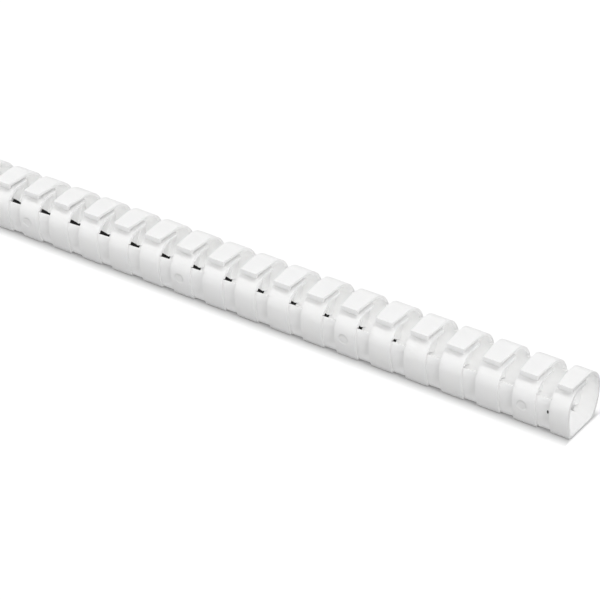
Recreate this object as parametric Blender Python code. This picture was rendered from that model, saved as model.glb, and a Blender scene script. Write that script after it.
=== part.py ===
"""Cable spine: a flexible slotted cable duct, moulded in one piece in white polypropylene.

The duct is a row of rings on a flat base. Each ring is open along its top, where a wide flap from the back
wall closes over a lip from the front wall, so a cable is pressed in between the two. Between two rings the
wall narrows to two recessed hinge webs that let the duct bend: one runs from the front panel on into the
floor, the other is the back panel. A slot parts them at the bottom corner of the back, and the top is an
open window.

X runs along the duct towards its sawn end, +Y is the back, +Z is up, and z = 0 is the underside.
"""
import math

import bpy
import bmesh
from mathutils import Vector

MM = 0.001

# Length of the duct, of one ring with its neck, and of the ring alone
RINGS = 25
PITCH = 20.0
RING_LENGTH = 12.2
SAWN_LENGTH = 9.9

# Section of a ring, seen along the duct
WIDTH = 30.2
HEIGHT = 29.0
WALL = 1.6
WIDEST_LEVEL = 0.5 * HEIGHT
FRONT_RADIUS = 34.0
FRONT_FOOT_RADIUS = 2.4
BACK_RADIUS = 21.3
BACK_FOOT_RADIUS = 4.8

# Flap from the back wall over the lip from the front wall
FLAP_SHOULDER = 0.448 * HEIGHT
FLAP_END = 2.6 - 0.5 * WIDTH
FLAP_FULL_WIDTH = 2.1
FLAP_SETBACK = 0.6
FLAP_TAPER = 2.2
LAP_GAP = 1.6
LIP_TOP = HEIGHT - WALL - LAP_GAP
LIP_TIP = 2.6
LIP_CORNER = 2.4

# Hinge webs between the rings
SLOT_HEAD = 0.117 * HEIGHT
PANEL_FOOT = 0.155 * HEIGHT
PANEL_HEAD = 0.7 * HEIGHT
RIM_STEP = 1.1
GROOVE_DEPTH = 4.2
GROOVE_HEAD_DEPTH = 0.8
GROOVE_CURVE = 1.4
FLOOR_LIFT = 0.8

# Facets of the rounds, and cross-sections in a neck
LIP_CORNER_STEPS = 2
SHOULDER_STEPS = 4
SIDE_STEPS = 2
FRONT_FOOT_STEPS = 1
BACK_FOOT_STEPS = 3
NECK_STEPS = 3


def clear_scene():
    """Removes whatever objects the scene holds."""
    for item in list(bpy.data.objects):
        bpy.data.objects.remove(item, do_unlink=True)


class Wire:
    """A ring's section as a wire that grows vertex by vertex in the plane across the duct."""

    def __init__(self, mesh, across, level):
        self.mesh = mesh
        self.verts = [mesh.verts.new((0.0, across, level))]

    def last(self):
        """Number of the newest vertex."""
        return len(self.verts) - 1

    def straight(self, across, level, steps=1):
        """Runs on in a straight line to a point."""
        start = self.verts[-1].co.copy()
        end = Vector((0.0, across, level))
        for step in range(1, steps + 1):
            grown = bmesh.ops.extrude_vert_indiv(self.mesh, verts=[self.verts[-1]])["verts"][0]
            grown.co = start.lerp(end, step / steps)
            self.verts.append(grown)
        return self.last()

    def arc(self, across, level, angle, steps):
        """Turns about a centre by an angle."""
        for _ in range(steps):
            spun = bmesh.ops.spin(
                self.mesh, geom=[self.verts[-1]], cent=(0.0, across, level), axis=(1, 0, 0),
                angle=angle / steps, steps=1, use_duplicate=False)["geom_last"]
            self.verts.append(next(item for item in spun if isinstance(item, bmesh.types.BMVert)))
        return self.last()


def foot_round(side_radius, foot_radius):
    """Centre of the foot round that joins a side wall to the base, and how far the wall turns to reach it."""
    turn = math.asin((WIDEST_LEVEL - foot_radius) / (side_radius - foot_radius))
    centre = WIDTH / 2 - side_radius + (side_radius - foot_radius) * math.cos(turn)
    return centre, turn


class Section:
    """The section's wire from the tip of the lip round the front, the base and the back to the flap's end."""

    def __init__(self, mesh):
        lip_radius = LIP_TOP - WIDEST_LEVEL
        lip_centre = WIDTH / 2 - lip_radius
        lip_turn = math.asin((PANEL_HEAD - WIDEST_LEVEL) / lip_radius)
        front_centre = WIDTH / 2 - FRONT_RADIUS
        front_foot, front_turn = foot_round(FRONT_RADIUS, FRONT_FOOT_RADIUS)
        panel_turn = math.asin((WIDEST_LEVEL - PANEL_FOOT) / FRONT_RADIUS)
        back_centre = WIDTH / 2 - BACK_RADIUS
        slot_turn = math.asin((WIDEST_LEVEL - SLOT_HEAD) / BACK_RADIUS)
        back_foot, back_turn = foot_round(BACK_RADIUS, BACK_FOOT_RADIUS)
        flap_centre = WIDTH / 2 - FLAP_SHOULDER
        flap_level = HEIGHT - FLAP_SHOULDER
        flap_turn = math.asin((PANEL_HEAD - flap_level) / FLAP_SHOULDER)

        wire = Wire(mesh, LIP_TIP, LIP_TOP)
        self.lip_corner = wire.straight(LIP_TIP - LIP_CORNER, LIP_TOP, LIP_CORNER_STEPS)
        wire.straight(-lip_centre, LIP_TOP)
        front_head = wire.arc(-lip_centre, WIDEST_LEVEL, math.pi / 2 - lip_turn, SHOULDER_STEPS)
        wire.arc(-lip_centre, WIDEST_LEVEL, lip_turn, SIDE_STEPS)
        wire.arc(-front_centre, WIDEST_LEVEL, panel_turn, SIDE_STEPS)
        wire.arc(-front_centre, WIDEST_LEVEL, front_turn - panel_turn, 1)
        wire.arc(-front_foot, FRONT_FOOT_RADIUS, math.pi / 2 - front_turn, FRONT_FOOT_STEPS)
        floor_edge = wire.straight(back_foot, 0.0) + 1
        wire.arc(back_foot, BACK_FOOT_RADIUS, math.pi / 2 - back_turn, BACK_FOOT_STEPS)
        slot_head = wire.arc(back_centre, WIDEST_LEVEL, back_turn - slot_turn, 1)
        wire.arc(back_centre, WIDEST_LEVEL, slot_turn, SIDE_STEPS)
        wire.straight(WIDTH / 2, flap_level)
        self.back_head = wire.arc(flap_centre, flap_level, flap_turn, 1)
        self.flap_top = wire.arc(flap_centre, flap_level, math.pi / 2 - flap_turn, SHOULDER_STEPS)
        wire.straight(flap_centre - FLAP_FULL_WIDTH, HEIGHT)
        self.flap_end = wire.straight(FLAP_END, HEIGHT)

        self.verts = wire.verts
        self.webs = (range(front_head, floor_edge + 1), range(slot_head, self.back_head + 1))
        self.rest = [vert.co.copy() for vert in self.verts]
        self.inward = []
        for number in range(len(self.rest)):
            run = self.rest[min(number + 1, self.flap_end)] - self.rest[max(number - 1, 0)]
            self.inward.append(Vector((0.0, -run.z, run.y)).normalized())

    def web(self, number):
        """The hinge web that a vertex belongs to, if any."""
        return next((web for web in self.webs if number in web), None)

    def recess(self, number, along):
        """How far a vertex of a web lies inside the rings, at a share of the neck's length."""
        level = self.rest[number].z
        climb = max(level - PANEL_FOOT, 0.0) / (PANEL_HEAD - PANEL_FOOT)
        deepest = GROOVE_DEPTH + (GROOVE_HEAD_DEPTH - GROOVE_DEPTH) * climb ** 2
        depth = RIM_STEP + (deepest - RIM_STEP) * along ** GROOVE_CURVE
        return FLOOR_LIFT + (depth - FLOOR_LIFT) * min(level / PANEL_FOOT, 1.0)

    def trim(self, number, end):
        """How far a ring's end lies back at a vertex: the lip's round corner, the flap's setback and taper."""
        if number <= self.lip_corner:
            reach = self.rest[number].y - (LIP_TIP - LIP_CORNER)
            return LIP_CORNER - math.sqrt(max(LIP_CORNER ** 2 - reach ** 2, 0.0))
        if end == "sawn":
            return 0.0
        share = (number - self.back_head) / (self.flap_top - self.back_head)
        setback = FLAP_SETBACK * min(max(share, 0.0), 1.0)
        if end == "start" and number == self.flap_end:
            setback += FLAP_TAPER - FLAP_SETBACK
        return setback


class Duct:
    """The duct's outer skin: the section run on from ring to ring, with the gaps between the webs left open."""

    def __init__(self):
        self.mesh = bmesh.new()
        self.section = Section(self.mesh)
        self.line = self.section.verts
        self.gaps = []
        self.place(0.0, "start")
        for ring in range(RINGS - 1):
            start = ring * PITCH
            self.run_on()
            self.place(start + RING_LENGTH, "end")
            for step in range(NECK_STEPS + 1):
                along = step / NECK_STEPS
                self.run_on(is_neck=True)
                self.sink(start + RING_LENGTH + (PITCH - RING_LENGTH) * along, along)
            self.run_on(is_neck=True)
            self.place(start + PITCH, "start")
        self.run_on()
        self.place((RINGS - 1) * PITCH + SAWN_LENGTH, "sawn")
        self.open_gaps()

    def run_on(self, is_neck=False):
        """Extrudes the newest cross-section, noting in a neck the faces that belong to no web."""
        section = self.section
        edges = [self.mesh.edges.get(pair) for pair in zip(self.line, self.line[1:])]
        grown = set(bmesh.ops.extrude_edge_only(self.mesh, edges=edges)["geom"])
        line = [next(edge.other_vert(vert) for edge in vert.link_edges if edge.other_vert(vert) in grown)
                for vert in self.line]
        for number in range(section.flap_end):
            if is_neck and (section.web(number) is None or section.web(number) != section.web(number + 1)):
                side = self.mesh.edges.get((self.line[number], line[number]))
                self.gaps += [face for face in side.link_faces if line[number + 1] in face.verts]
        self.line = line

    def place(self, x, end):
        """Sets the newest cross-section at the end of a ring."""
        for number, vert in enumerate(self.line):
            vert.co = self.section.rest[number]
            vert.co.x = x + self.section.trim(number, end) * (1 if end == "start" else -1)

    def sink(self, x, along):
        """Sets the newest cross-section inside a neck."""
        for number, vert in enumerate(self.line):
            depth = self.section.recess(number, along) if self.section.web(number) else 0.0
            vert.co = self.section.rest[number] + self.section.inward[number] * depth
            vert.co.x = x

    def open_gaps(self):
        """Takes out what belongs to no ring and no web, and turns the skin's faces outward."""
        mesh = self.mesh
        bmesh.ops.delete(mesh, geom=self.gaps, context="FACES_ONLY")
        bmesh.ops.delete(mesh, geom=[edge for edge in mesh.edges if not edge.link_faces], context="EDGES")
        bmesh.ops.delete(mesh, geom=[vert for vert in mesh.verts if not vert.link_faces], context="VERTS")
        bmesh.ops.recalc_face_normals(mesh, faces=mesh.faces)
        backmost = max(mesh.faces, key=lambda face: face.calc_center_median().y)
        if backmost.normal.y < 0:
            bmesh.ops.reverse_faces(mesh, faces=mesh.faces)

    def body(self):
        """The finished moulding: the skin centred, scaled to metres and given its wall."""
        length = (RINGS - 1) * PITCH + SAWN_LENGTH
        bmesh.ops.translate(self.mesh, verts=self.mesh.verts, vec=(-length / 2, 0.0, 0.0))
        bmesh.ops.scale(self.mesh, verts=self.mesh.verts, vec=(MM, MM, MM))
        data = bpy.data.meshes.new("duct_body")
        self.mesh.to_mesh(data)
        self.mesh.free()
        data.shade_smooth()
        body = bpy.data.objects.new("duct_body", data)
        bpy.context.scene.collection.objects.link(body)
        wall = body.modifiers.new("wall", "SOLIDIFY")
        wall.thickness = WALL * MM
        wall.offset = -1.0
        wall.use_even_offset = True
        wall.use_quality_normals = True
        return body


def polypropylene():
    """White moulded polypropylene with a satin skin."""
    material = bpy.data.materials.new("white_polypropylene")
    material.use_nodes = True
    surface = material.node_tree.nodes["Principled BSDF"]
    surface.inputs["Base Color"].default_value = (0.86, 0.86, 0.85, 1.0)
    surface.inputs["Roughness"].default_value = 0.42
    surface.inputs["Metallic"].default_value = 0.0
    return material


clear_scene()
duct = Duct().body()
duct.data.materials.append(polypropylene())
bpy.context.view_layer.update()
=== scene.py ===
import math

import bmesh
import bpy
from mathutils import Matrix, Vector


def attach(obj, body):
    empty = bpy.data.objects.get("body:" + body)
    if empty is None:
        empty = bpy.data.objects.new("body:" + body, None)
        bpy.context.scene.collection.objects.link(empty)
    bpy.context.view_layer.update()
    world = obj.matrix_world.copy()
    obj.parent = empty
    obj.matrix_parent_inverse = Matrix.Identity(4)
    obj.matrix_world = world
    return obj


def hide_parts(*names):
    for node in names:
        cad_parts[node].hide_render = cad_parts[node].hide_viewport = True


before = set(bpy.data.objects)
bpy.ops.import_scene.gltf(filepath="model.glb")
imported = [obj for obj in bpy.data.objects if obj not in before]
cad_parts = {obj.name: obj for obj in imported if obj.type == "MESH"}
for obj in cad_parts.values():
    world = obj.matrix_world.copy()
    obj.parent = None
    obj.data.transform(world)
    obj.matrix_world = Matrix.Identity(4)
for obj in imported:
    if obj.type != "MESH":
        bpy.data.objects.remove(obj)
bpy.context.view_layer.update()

# Duct body: one long moulding in white polypropylene, a row of rings on thin hinge necks that let it bend.
# It comes out of the mould as one thin wall, so it is made as one skin that follows the outline of a ring,
# steps in at each neck, and is then given its wall, thinner in the necks, and edges that are just broken.
MM = 0.001

# Length of the duct, of one ring with its neck, and of the ring alone, in millimetres as all its sizes are
RINGS = 25
PITCH = 20.0
RING_LENGTH = 12.2
SAWN_LENGTH = 9.9

# Section of a ring, seen along the duct
WIDTH = 30.2
HEIGHT = 29.0
WALL = 1.6
WIDEST_LEVEL = 0.5 * HEIGHT
FRONT_RADIUS = 34.0
FRONT_FOOT_RADIUS = 2.4
BACK_RADIUS = 21.3
BACK_FOOT_RADIUS = 6.5

# Flap from the back wall, with its end turned down over the lip from the front wall
FLAP_SHOULDER = 0.448 * HEIGHT
FLAP_END = 2.6 - 0.5 * WIDTH
FLAP_FULL_WIDTH = 2.1
FLAP_SETBACK = 0.6
FLAP_TAPER = 2.2
FLAP_HOOK = 2.6
LAP_GAP = 1.6
LIP_TOP = HEIGHT - WALL - LAP_GAP
LIP_TIP = 2.6
LIP_CORNER = 2.4

# Hinge webs between the rings
SLOT_HEAD = 0.125 * HEIGHT
PANEL_FOOT = 0.155 * HEIGHT
PANEL_HEAD = 0.68 * HEIGHT
RIM_STEP = 1.1
GROOVE_DEPTH = 4.2
GROOVE_HEAD_DEPTH = 0.8
GROOVE_CURVE = 1.4
FLOOR_LIFT = 0.8
NECK_WALL = 0.9

# Rounding of the edges, all that the shortest edges leave room for
EDGE_ROUND = 0.04

# Turn in radians from the front panel's head to the next point of the section
HEAD_TURN = 0.05

# Facets of the rounds, and cross-sections in a neck
LIP_CORNER_STEPS = 8
SHOULDER_STEPS = 12
SIDE_STEPS = 6
FRONT_FOOT_STEPS = 2
BACK_FOOT_STEPS = 6
NECK_STEPS = 8
BASE_STEPS = 5
FLAP_STEPS = 4


class Wire:
    """A ring's section as a wire that grows vertex by vertex in the plane across the duct."""

    def __init__(self, mesh, across, level):
        self.mesh = mesh
        self.verts = [mesh.verts.new((0.0, across, level))]

    def last(self):
        """Number of the newest vertex."""
        return len(self.verts) - 1

    def straight(self, across, level, steps=1):
        """Runs on in a straight line to a point."""
        start = self.verts[-1].co.copy()
        end = Vector((0.0, across, level))
        for step in range(1, steps + 1):
            grown = bmesh.ops.extrude_vert_indiv(self.mesh, verts=[self.verts[-1]])["verts"][0]
            grown.co = start.lerp(end, step / steps)
            self.verts.append(grown)
        return self.last()

    def arc(self, across, level, angle, steps):
        """Turns about a centre by an angle."""
        for _ in range(steps):
            spun = bmesh.ops.spin(
                self.mesh, geom=[self.verts[-1]], cent=(0.0, across, level), axis=(1, 0, 0),
                angle=angle / steps, steps=1, use_duplicate=False)["geom_last"]
            self.verts.append(next(item for item in spun if isinstance(item, bmesh.types.BMVert)))
        return self.last()


def foot_round(side_radius, foot_radius):
    """Centre of the foot round between a side wall and the base, and the wall's turn down to it."""
    turn = math.asin((WIDEST_LEVEL - foot_radius) / (side_radius - foot_radius))
    centre = WIDTH / 2 - side_radius + (side_radius - foot_radius) * math.cos(turn)
    return centre, turn


class Section:
    """The section's wire, from the lip's tip round the front, the base and the back to the flap's end."""

    def __init__(self, mesh):
        lip_radius = LIP_TOP - WIDEST_LEVEL
        lip_centre = WIDTH / 2 - lip_radius
        lip_turn = math.asin((PANEL_HEAD - WIDEST_LEVEL) / lip_radius)
        front_centre = WIDTH / 2 - FRONT_RADIUS
        front_foot, front_turn = foot_round(FRONT_RADIUS, FRONT_FOOT_RADIUS)
        panel_turn = math.asin((WIDEST_LEVEL - PANEL_FOOT) / FRONT_RADIUS)
        back_centre = WIDTH / 2 - BACK_RADIUS
        slot_turn = math.asin((WIDEST_LEVEL - SLOT_HEAD) / BACK_RADIUS)
        back_foot, back_turn = foot_round(BACK_RADIUS, BACK_FOOT_RADIUS)
        flap_centre = WIDTH / 2 - FLAP_SHOULDER
        flap_level = HEIGHT - FLAP_SHOULDER
        flap_turn = math.asin((PANEL_HEAD - flap_level) / FLAP_SHOULDER)

        wire = Wire(mesh, LIP_TIP, LIP_TOP)
        self.lip_corner = wire.straight(LIP_TIP - LIP_CORNER, LIP_TOP, LIP_CORNER_STEPS)
        wire.straight(-lip_centre, LIP_TOP, BASE_STEPS)
        wire.arc(-lip_centre, WIDEST_LEVEL, math.pi / 2 - lip_turn - HEAD_TURN, SHOULDER_STEPS)
        front_head = wire.arc(-lip_centre, WIDEST_LEVEL, HEAD_TURN, 1)
        wire.arc(-lip_centre, WIDEST_LEVEL, lip_turn, SIDE_STEPS)
        wire.arc(-front_centre, WIDEST_LEVEL, panel_turn, SIDE_STEPS)
        wire.arc(-front_centre, WIDEST_LEVEL, front_turn - panel_turn, SIDE_STEPS // 2)
        wire.arc(-front_foot, FRONT_FOOT_RADIUS, math.pi / 2 - front_turn, FRONT_FOOT_STEPS)
        floor_edge = wire.straight(back_foot, 0.0, BASE_STEPS) + BACK_FOOT_STEPS // 3
        wire.arc(back_foot, BACK_FOOT_RADIUS, math.pi / 2 - back_turn, BACK_FOOT_STEPS)
        slot_head = wire.arc(back_centre, WIDEST_LEVEL, back_turn - slot_turn, 1)
        wire.arc(back_centre, WIDEST_LEVEL, slot_turn, SIDE_STEPS)
        wire.straight(WIDTH / 2, flap_level)
        self.back_head = wire.arc(flap_centre, flap_level, flap_turn, FLAP_STEPS)
        self.flap_top = wire.arc(flap_centre, flap_level, math.pi / 2 - flap_turn, SHOULDER_STEPS)
        self.flap_narrows = wire.straight(flap_centre - FLAP_FULL_WIDTH, HEIGHT)
        wire.straight(FLAP_END, HEIGHT, FLAP_STEPS)
        self.flap_end = wire.straight(FLAP_END, HEIGHT - FLAP_HOOK)

        self.verts = wire.verts
        self.webs = (range(front_head, floor_edge + 1), range(slot_head, self.back_head + 1))
        self.rest = [vert.co.copy() for vert in self.verts]
        self.inward = []
        for number in range(len(self.rest)):
            run = self.rest[min(number + 1, self.flap_end)] - self.rest[max(number - 1, 0)]
            self.inward.append(Vector((0.0, -run.z, run.y)).normalized())

    def web(self, number):
        """The hinge web that a vertex belongs to, if any."""
        return next((web for web in self.webs if number in web), None)

    def recess(self, number, along):
        """How far a vertex of a web lies inside the rings, at a share of the neck's length."""
        level = self.rest[number].z
        climb = max(level - PANEL_FOOT, 0.0) / (PANEL_HEAD - PANEL_FOOT)
        deepest = GROOVE_DEPTH + (GROOVE_HEAD_DEPTH - GROOVE_DEPTH) * climb ** 2
        depth = RIM_STEP + (deepest - RIM_STEP) * along ** GROOVE_CURVE
        return FLOOR_LIFT + (depth - FLOOR_LIFT) * min(level / PANEL_FOOT, 1.0)

    def trim(self, number, end):
        """How far a ring's end lies back at a vertex, for the lip's corner, the flap's setback or taper."""
        if number <= self.lip_corner:
            reach = self.rest[number].y - (LIP_TIP - LIP_CORNER)
            return LIP_CORNER - math.sqrt(max(LIP_CORNER ** 2 - reach ** 2, 0.0))
        if end == "sawn":
            return 0.0
        share = (number - self.back_head) / (self.flap_top - self.back_head)
        setback = FLAP_SETBACK * min(max(share, 0.0), 1.0)
        if end == "start" and number > self.flap_narrows:
            setback += (FLAP_TAPER - FLAP_SETBACK) * min((number - self.flap_narrows) / FLAP_STEPS, 1.0)
        return setback


class Duct:
    """The duct's outer skin: the section run on from ring to ring, open between the hinge webs."""

    def __init__(self):
        self.mesh = bmesh.new()
        self.wall = self.mesh.verts.layers.deform.verify()
        self.section = Section(self.mesh)
        self.line = self.section.verts
        self.gaps = []
        self.place(0.0, "start")
        for ring in range(RINGS - 1):
            start = ring * PITCH
            self.run_on()
            self.place(start + RING_LENGTH, "end")
            for step in range(NECK_STEPS + 1):
                along = step / NECK_STEPS
                self.run_on(is_neck=True)
                self.sink(start + RING_LENGTH + (PITCH - RING_LENGTH) * along, along)
            self.run_on(is_neck=True)
            self.place(start + PITCH, "start")
        self.run_on()
        self.place((RINGS - 1) * PITCH + SAWN_LENGTH, "sawn")
        self.open_gaps()

    def run_on(self, is_neck=False):
        """Extrudes the newest cross-section, noting in a neck the faces that belong to no web."""
        section = self.section
        edges = [self.mesh.edges.get(pair) for pair in zip(self.line, self.line[1:])]
        grown = set(bmesh.ops.extrude_edge_only(self.mesh, edges=edges)["geom"])
        line = [next(edge.other_vert(vert) for edge in vert.link_edges if edge.other_vert(vert) in grown)
                for vert in self.line]
        for number in range(section.flap_end):
            if is_neck and (section.web(number) is None or section.web(number) != section.web(number + 1)):
                side = self.mesh.edges.get((self.line[number], line[number]))
                self.gaps += [face for face in side.link_faces if line[number + 1] in face.verts]
        self.line = line

    def place(self, x, end):
        """Sets the newest cross-section at the end of a ring, with the full wall."""
        for number, vert in enumerate(self.line):
            vert.co = self.section.rest[number]
            vert.co.x = x + self.section.trim(number, end) * (1 if end == "start" else -1)
            vert[self.wall][0] = 1.0

    def sink(self, x, along):
        """Sets the newest cross-section inside a neck, with the neck's wall."""
        for number, vert in enumerate(self.line):
            depth = self.section.recess(number, along) if self.section.web(number) else 0.0
            vert.co = self.section.rest[number] + self.section.inward[number] * depth
            vert.co.x = x
            vert[self.wall][0] = NECK_WALL / WALL

    def open_gaps(self):
        """Takes out what belongs to no ring and no web, and turns the skin's faces outward."""
        mesh = self.mesh
        bmesh.ops.delete(mesh, geom=self.gaps, context="FACES_ONLY")
        bmesh.ops.delete(mesh, geom=[edge for edge in mesh.edges if not edge.link_faces], context="EDGES")
        bmesh.ops.delete(mesh, geom=[vert for vert in mesh.verts if not vert.link_faces], context="VERTS")
        bmesh.ops.recalc_face_normals(mesh, faces=mesh.faces)
        backmost = max(mesh.faces, key=lambda face: face.calc_center_median().y)
        if backmost.normal.y < 0:
            bmesh.ops.reverse_faces(mesh, faces=mesh.faces)


skin = Duct()
half_length = ((RINGS - 1) * PITCH + SAWN_LENGTH) / 2
bmesh.ops.translate(skin.mesh, verts=skin.mesh.verts, vec=(-half_length, 0.0, 0.0))
bmesh.ops.scale(skin.mesh, verts=skin.mesh.verts, vec=(MM, MM, MM))
duct_data = bpy.data.meshes.new("duct")
skin.mesh.to_mesh(duct_data)
skin.mesh.free()
duct_data.shade_smooth()
duct = bpy.data.objects.new("duct", duct_data)
bpy.context.scene.collection.objects.link(duct)
duct.vertex_groups.new(name="wall")
wall = duct.modifiers.new("wall", "SOLIDIFY")
wall.vertex_group = "wall"
wall.thickness = WALL * MM
wall.offset = -1
wall.use_even_offset = True
wall.use_quality_normals = True
rounding = duct.modifiers.new("rounding", "BEVEL")
rounding.width = EDGE_ROUND * MM
rounding.segments = 2
rounding.limit_method = "ANGLE"
rounding.angle_limit = math.radians(40)
rounding.harden_normals = True


class Socket:
    """A shader socket that takes part in sums: an expression on sockets adds its Math nodes."""

    def __init__(self, tree, out):
        self.tree = tree
        self.out = out

    def math(self, operation, *values):
        """A Math node on values and sockets."""
        return self.tree.node("ShaderNodeMath", {"operation": operation}, dict(enumerate(values)))

    def __add__(self, other):
        return self.math("ADD", self, other)

    def __sub__(self, other):
        return self.math("SUBTRACT", self, other)

    def __rsub__(self, other):
        return self.math("SUBTRACT", other, self)

    def __mul__(self, other):
        return self.math("MULTIPLY", self, other)

    __radd__ = __add__
    __rmul__ = __mul__


class Tree:
    """A material's or world's nodes."""

    def __init__(self, owner):
        owner.use_nodes = True
        self.nodes = owner.node_tree.nodes
        self.links = owner.node_tree.links
        self.nodes.clear()

    def node(self, kind, settings=None, inputs=None, output=0):
        """Adds a node, with its settings set first and then its inputs' values and links."""
        made = self.nodes.new(kind)
        for name, value in (settings or {}).items():
            setattr(made, name, value)
        for name, value in (inputs or {}).items():
            if isinstance(value, Socket):
                self.links.new(value.out, made.inputs[name])
            else:
                made.inputs[name].default_value = value
        return Socket(self, made.outputs[output]) if made.outputs else None

    def smooth(self, value, low, high):
        """Rises smoothly from 0 to 1 as a value goes from low to high."""
        return self.node("ShaderNodeMapRange", {"interpolation_type": "SMOOTHSTEP"},
                         {0: value, 1: low, 2: high})

    def vector(self, operation, first, second):
        """A Vector Math node on two vectors."""
        return self.node("ShaderNodeVectorMath", {"operation": operation}, {0: first, 1: second})

    def length(self, vector):
        """A vector's length."""
        return self.node("ShaderNodeVectorMath", {"operation": "LENGTH"}, {0: vector}, output=1)

    def blend(self, factor, first, second):
        """Mixes two colours."""
        return self.node("ShaderNodeMix", {"data_type": "RGBA"}, {0: factor, 6: first, 7: second}, output=2)


# Plastic: satin white that lets light through a little, with slow drifts of tint and a fine grain
WHITE_LOW = (0.905, 0.905, 0.9, 1.0)
WHITE_HIGH = (0.935, 0.935, 0.93, 1.0)
DRIFT_SCALE = 55.0
GRAIN_SCALE = 1400.0
GRAIN_HEIGHT = 0.08
LIGHT_REACH = 1.5

# Round sunk marks of the mould on the front wall of every fifth ring
MARK_EVERY = 5 * PITCH
FIRST_MARK = 3 * PITCH + 5.2
MARK_LEVEL = 11.8
MARK_RADIUS = 2.5
MARK_EDGE = 0.45
MARK_DEPTH = 0.4
MARK_SHARE = 0.1
MARK_GREY = (0.5, 0.5, 0.5, 1.0)

# Painted shade: a black spot on the front of the last neck beside the last ring, standing in for the dark
# seen through a small hole there; its place, its half sizes and its blurred rim
HOLE_SHADE_PLACE = Vector((232.9, -12.35, 11.5))
HOLE_SHADE_HALF = Vector((0.45, 0.7, 1.25))
HOLE_SHADE_RIM = (0.8, 1.1)
HOLE_SHADE_BLACK = (0.03, 0.03, 0.03, 1.0)

polypropylene = bpy.data.materials.new("white_polypropylene")
tree = Tree(polypropylene)
place = tree.node("ShaderNodeTexCoord", output="Object")
drift = tree.node("ShaderNodeTexNoise", inputs={"Vector": place, "Scale": DRIFT_SCALE, "Detail": 3.0})
grain = tree.node("ShaderNodeTexNoise", inputs={"Vector": place, "Scale": GRAIN_SCALE, "Detail": 2.0})

# The first mark is measured from its centre, and its distance starts anew with every fifth ring
half_way = Vector((MARK_EVERY, 1000.0, 1000.0)) * MM / 2
first_mark = Vector((FIRST_MARK - half_length, -WIDTH / 2, MARK_LEVEL))
from_first = tree.vector("SUBTRACT", place, first_mark * MM)
from_mark = tree.node("ShaderNodeVectorMath", {"operation": "WRAP"},
                      {0: from_first, 1: half_way, 2: -half_way})
mark = 1.0 - tree.smooth(tree.length(from_mark),
                         (MARK_RADIUS - MARK_EDGE) * MM, (MARK_RADIUS + MARK_EDGE) * MM)
from_hole_shade = tree.vector("DIVIDE", tree.vector("SUBTRACT", place, HOLE_SHADE_PLACE * MM), HOLE_SHADE_HALF * MM)
hole_shade = 1.0 - tree.smooth(tree.length(from_hole_shade), *HOLE_SHADE_RIM)

tint = tree.blend(drift, WHITE_LOW, WHITE_HIGH)
tint = tree.blend(MARK_SHARE * mark, tint, MARK_GREY)
# The hole's painted shade, black on the last neck's front
tint = tree.blend(hole_shade, tint, HOLE_SHADE_BLACK)
relief = tree.node("ShaderNodeBump", inputs={
    "Height": grain, "Strength": 0.12, "Distance": GRAIN_HEIGHT * MM})
relief = tree.node("ShaderNodeBump", inputs={
    "Height": 1.0 - mark, "Normal": relief, "Strength": 1.0, "Distance": MARK_DEPTH * MM})
surface = tree.node("ShaderNodeBsdfPrincipled", inputs={
    "Base Color": tint, "Roughness": 0.5 + 0.14 * drift, "Normal": relief, "IOR": 1.49,
    "Subsurface Weight": 1.0, "Subsurface Scale": LIGHT_REACH * MM, "Subsurface Radius": (1.0, 1.0, 1.0)})
tree.node("ShaderNodeOutputMaterial", inputs={"Surface": surface})
duct.data.materials.append(polypropylene)
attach(duct, "root")
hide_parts("duct_body")

# Stage: a plain pale floor. It adds light of its own for the camera only, so that it looks white. Less of it
# is added in a band under and beside the duct, which paints a soft shadow there on top of the duct's real
# shadow. A black strip painted on the floor behind the back's foot is painted shade, which a viewer in front
# sees through the slots there. A viewer below sees through the floor.
FLOOR_SIZE = 8.0
FLOOR_GREY = (0.4, 0.4, 0.4, 1.0)
WHITENING = 0.68
SHADOW_BAND_WHITENING = 0.25
SHADOW_BAND_HALF_WIDTH = 10.0
SHADOW_BAND_BLUR = 10.0

# Painted shade: a black strip on the floor behind the back's foot, which a viewer in front sees through the
# slots
STRIP_SHADE_BLACK = (0.03, 0.03, 0.03, 1.0)
STRIP_ACROSS = 11.0
STRIP_HALF_WIDTH = 5.2
STRIP_BLUR = 1.8
STRIP_END = 143.0
STRIP_END_BLUR = 10.0
VIEWER_IN_FRONT = -0.45
VIEWER_BESIDE = -0.3

bpy.ops.mesh.primitive_plane_add(size=FLOOR_SIZE, location=(0.0, 0.0, 0.0))
floor = bpy.context.object
floor.name = "floor"
white = bpy.data.materials.new("floor_white")
tree = Tree(white)
spot = tree.node("ShaderNodeTexCoord", output="Object")
along = tree.node("ShaderNodeSeparateXYZ", inputs={0: spot}, output=0)
across = tree.node("ShaderNodeSeparateXYZ", inputs={0: spot}, output=1)
# Band along the duct where the floor gets less whitening: a painted soft shadow under and beside the duct
beside = tree.smooth(across.math("ABSOLUTE", across), SHADOW_BAND_HALF_WIDTH * MM,
                     (SHADOW_BAND_HALF_WIDTH + SHADOW_BAND_BLUR) * MM)
beyond = tree.smooth(along.math("ABSOLUTE", along), (half_length - 1.0) * MM, (half_length + 1.5) * MM)
open_floor = beside.math("MAXIMUM", beside, beyond)

from_strip = across - STRIP_ACROSS * MM
off_strip = tree.smooth(from_strip.math("ABSOLUTE", from_strip), STRIP_HALF_WIDTH * MM,
                        (STRIP_HALF_WIDTH + STRIP_BLUR) * MM)
past_strip = tree.smooth(along, STRIP_END * MM, (STRIP_END + STRIP_END_BLUR) * MM)
incoming = tree.node("ShaderNodeNewGeometry", output="Incoming")
viewer_side = tree.node("ShaderNodeSeparateXYZ", inputs={0: incoming}, output=1)
viewed_aside = tree.smooth(viewer_side, VIEWER_IN_FRONT, VIEWER_BESIDE)
shade_strip = (1.0 - off_strip) * (1.0 - past_strip) * (1.0 - viewed_aside) * (1.0 - beyond)

# The floor is painted black in the strip, as painted shade seen through the slots
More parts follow.
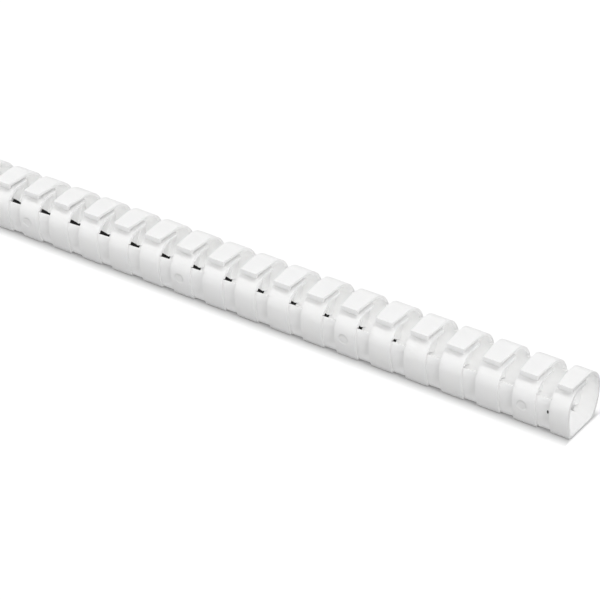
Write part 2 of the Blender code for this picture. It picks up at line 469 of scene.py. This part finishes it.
painted = tree.node("ShaderNodeBsdfDiffuse", inputs={"Color": tree.blend(shade_strip, FLOOR_GREY, STRIP_SHADE_BLACK)})
# Whitening is cut in the band along the duct, which paints its soft shadow there, and is left out in the
# black strip
share = SHADOW_BAND_WHITENING + (1.0 - SHADOW_BAND_WHITENING) * open_floor
lift = tree.node("ShaderNodeEmission", inputs={"Strength": WHITENING * (1.0 - shade_strip) * share})
lifted = tree.node("ShaderNodeAddShader", inputs={0: painted, 1: lift})
to_camera = tree.node("ShaderNodeLightPath", output="Is Camera Ray")
shown = tree.node("ShaderNodeMixShader", inputs={0: to_camera, 1: painted, 2: lifted})
from_below = tree.node("ShaderNodeNewGeometry", output="Backfacing")
clear = tree.node("ShaderNodeBsdfTransparent")
shown = tree.node("ShaderNodeMixShader", inputs={0: from_below * to_camera, 1: shown, 2: clear})
tree.node("ShaderNodeOutputMaterial", inputs={"Surface": shown})
floor.data.materials.append(white)

# Light: an even white studio, with a broad key from the front right above, a faint top light and a fill from
# the front left. Each lamp has its name, strength, spread in degrees and the direction that it shines in.
SKY_STRENGTH = 0.66
LAMPS = (
    ("key", 0.9, 14, (-0.6, 0.35, -1.0)),
    ("top", 0.1, 60, (-0.05, -0.1, -1.0)),
    ("fill", 0.46, 30, (0.45, 0.75, -0.4)),
)

scene = bpy.context.scene
scene.view_settings.view_transform = "Standard"
scene.world = bpy.data.worlds.new("studio")
tree = Tree(scene.world)
to_camera = tree.node("ShaderNodeLightPath", output="Is Camera Ray")
sky = tree.node("ShaderNodeBackground", inputs={"Color": (1.0, 1.0, 1.0, 1.0), "Strength": SKY_STRENGTH})
backdrop = tree.node("ShaderNodeBackground", inputs={"Color": (1.0, 1.0, 1.0, 1.0), "Strength": 1.0})
seen = tree.node("ShaderNodeMixShader", inputs={0: to_camera, 1: sky, 2: backdrop})
tree.node("ShaderNodeOutputWorld", inputs={"Surface": seen})

for name, strength, spread, aim in LAMPS:
    light = bpy.data.lights.new(name, "SUN")
    light.energy = strength
    light.angle = math.radians(spread)
    lamp = bpy.data.objects.new(name, light)
    lamp.rotation_euler = Vector(aim).to_track_quat("-Z", "Y").to_euler()
    scene.collection.objects.link(lamp)

# Inner glow: a faint rod of light along the channel, which stands in for the light that passes through the
# duct's thin walls and brightens its inside. The camera doesn't see it.
GLOW_RADIUS = 3.0
GLOW_LEVEL = 17.0
GLOW_STRENGTH = 1.1

bpy.ops.mesh.primitive_cylinder_add(
    vertices=16, radius=GLOW_RADIUS * MM, depth=2 * half_length * MM,
    location=(0.0, 0.0, GLOW_LEVEL * MM), rotation=(0.0, math.pi / 2, 0.0))
glow = bpy.context.object
glow.name = "inner_glow"
glow.visible_camera = False
glow.visible_glossy = False
glow.visible_shadow = False
through_light = bpy.data.materials.new("inner_glow")
tree = Tree(through_light)
shine = tree.node("ShaderNodeEmission", inputs={"Strength": GLOW_STRENGTH})
tree.node("ShaderNodeOutputMaterial", inputs={"Surface": shine})
glow.data.materials.append(through_light)

# Camera: in front of the sawn end and above it, at the photograph's angle
CAMERA_LENS = 145.54
CAMERA_PLACE = Vector((half_length + 425.8, -841.15, 643.6))
AZIMUTH = math.radians(34.88)
ELEVATION = math.radians(31.55)

camera = bpy.data.cameras.new("camera")
camera.sensor_width = 36.0
camera.lens = CAMERA_LENS
camera.clip_start = 0.01
camera.clip_end = 20.0
viewer = bpy.data.objects.new("camera", camera)
looking = Vector((-math.sin(AZIMUTH) * math.cos(ELEVATION), math.cos(AZIMUTH) * math.cos(ELEVATION),
                  -math.sin(ELEVATION)))
viewer.location = CAMERA_PLACE * MM
viewer.rotation_euler = looking.to_track_quat("-Z", "Y").to_euler()
scene.collection.objects.link(viewer)
scene.camera = viewer
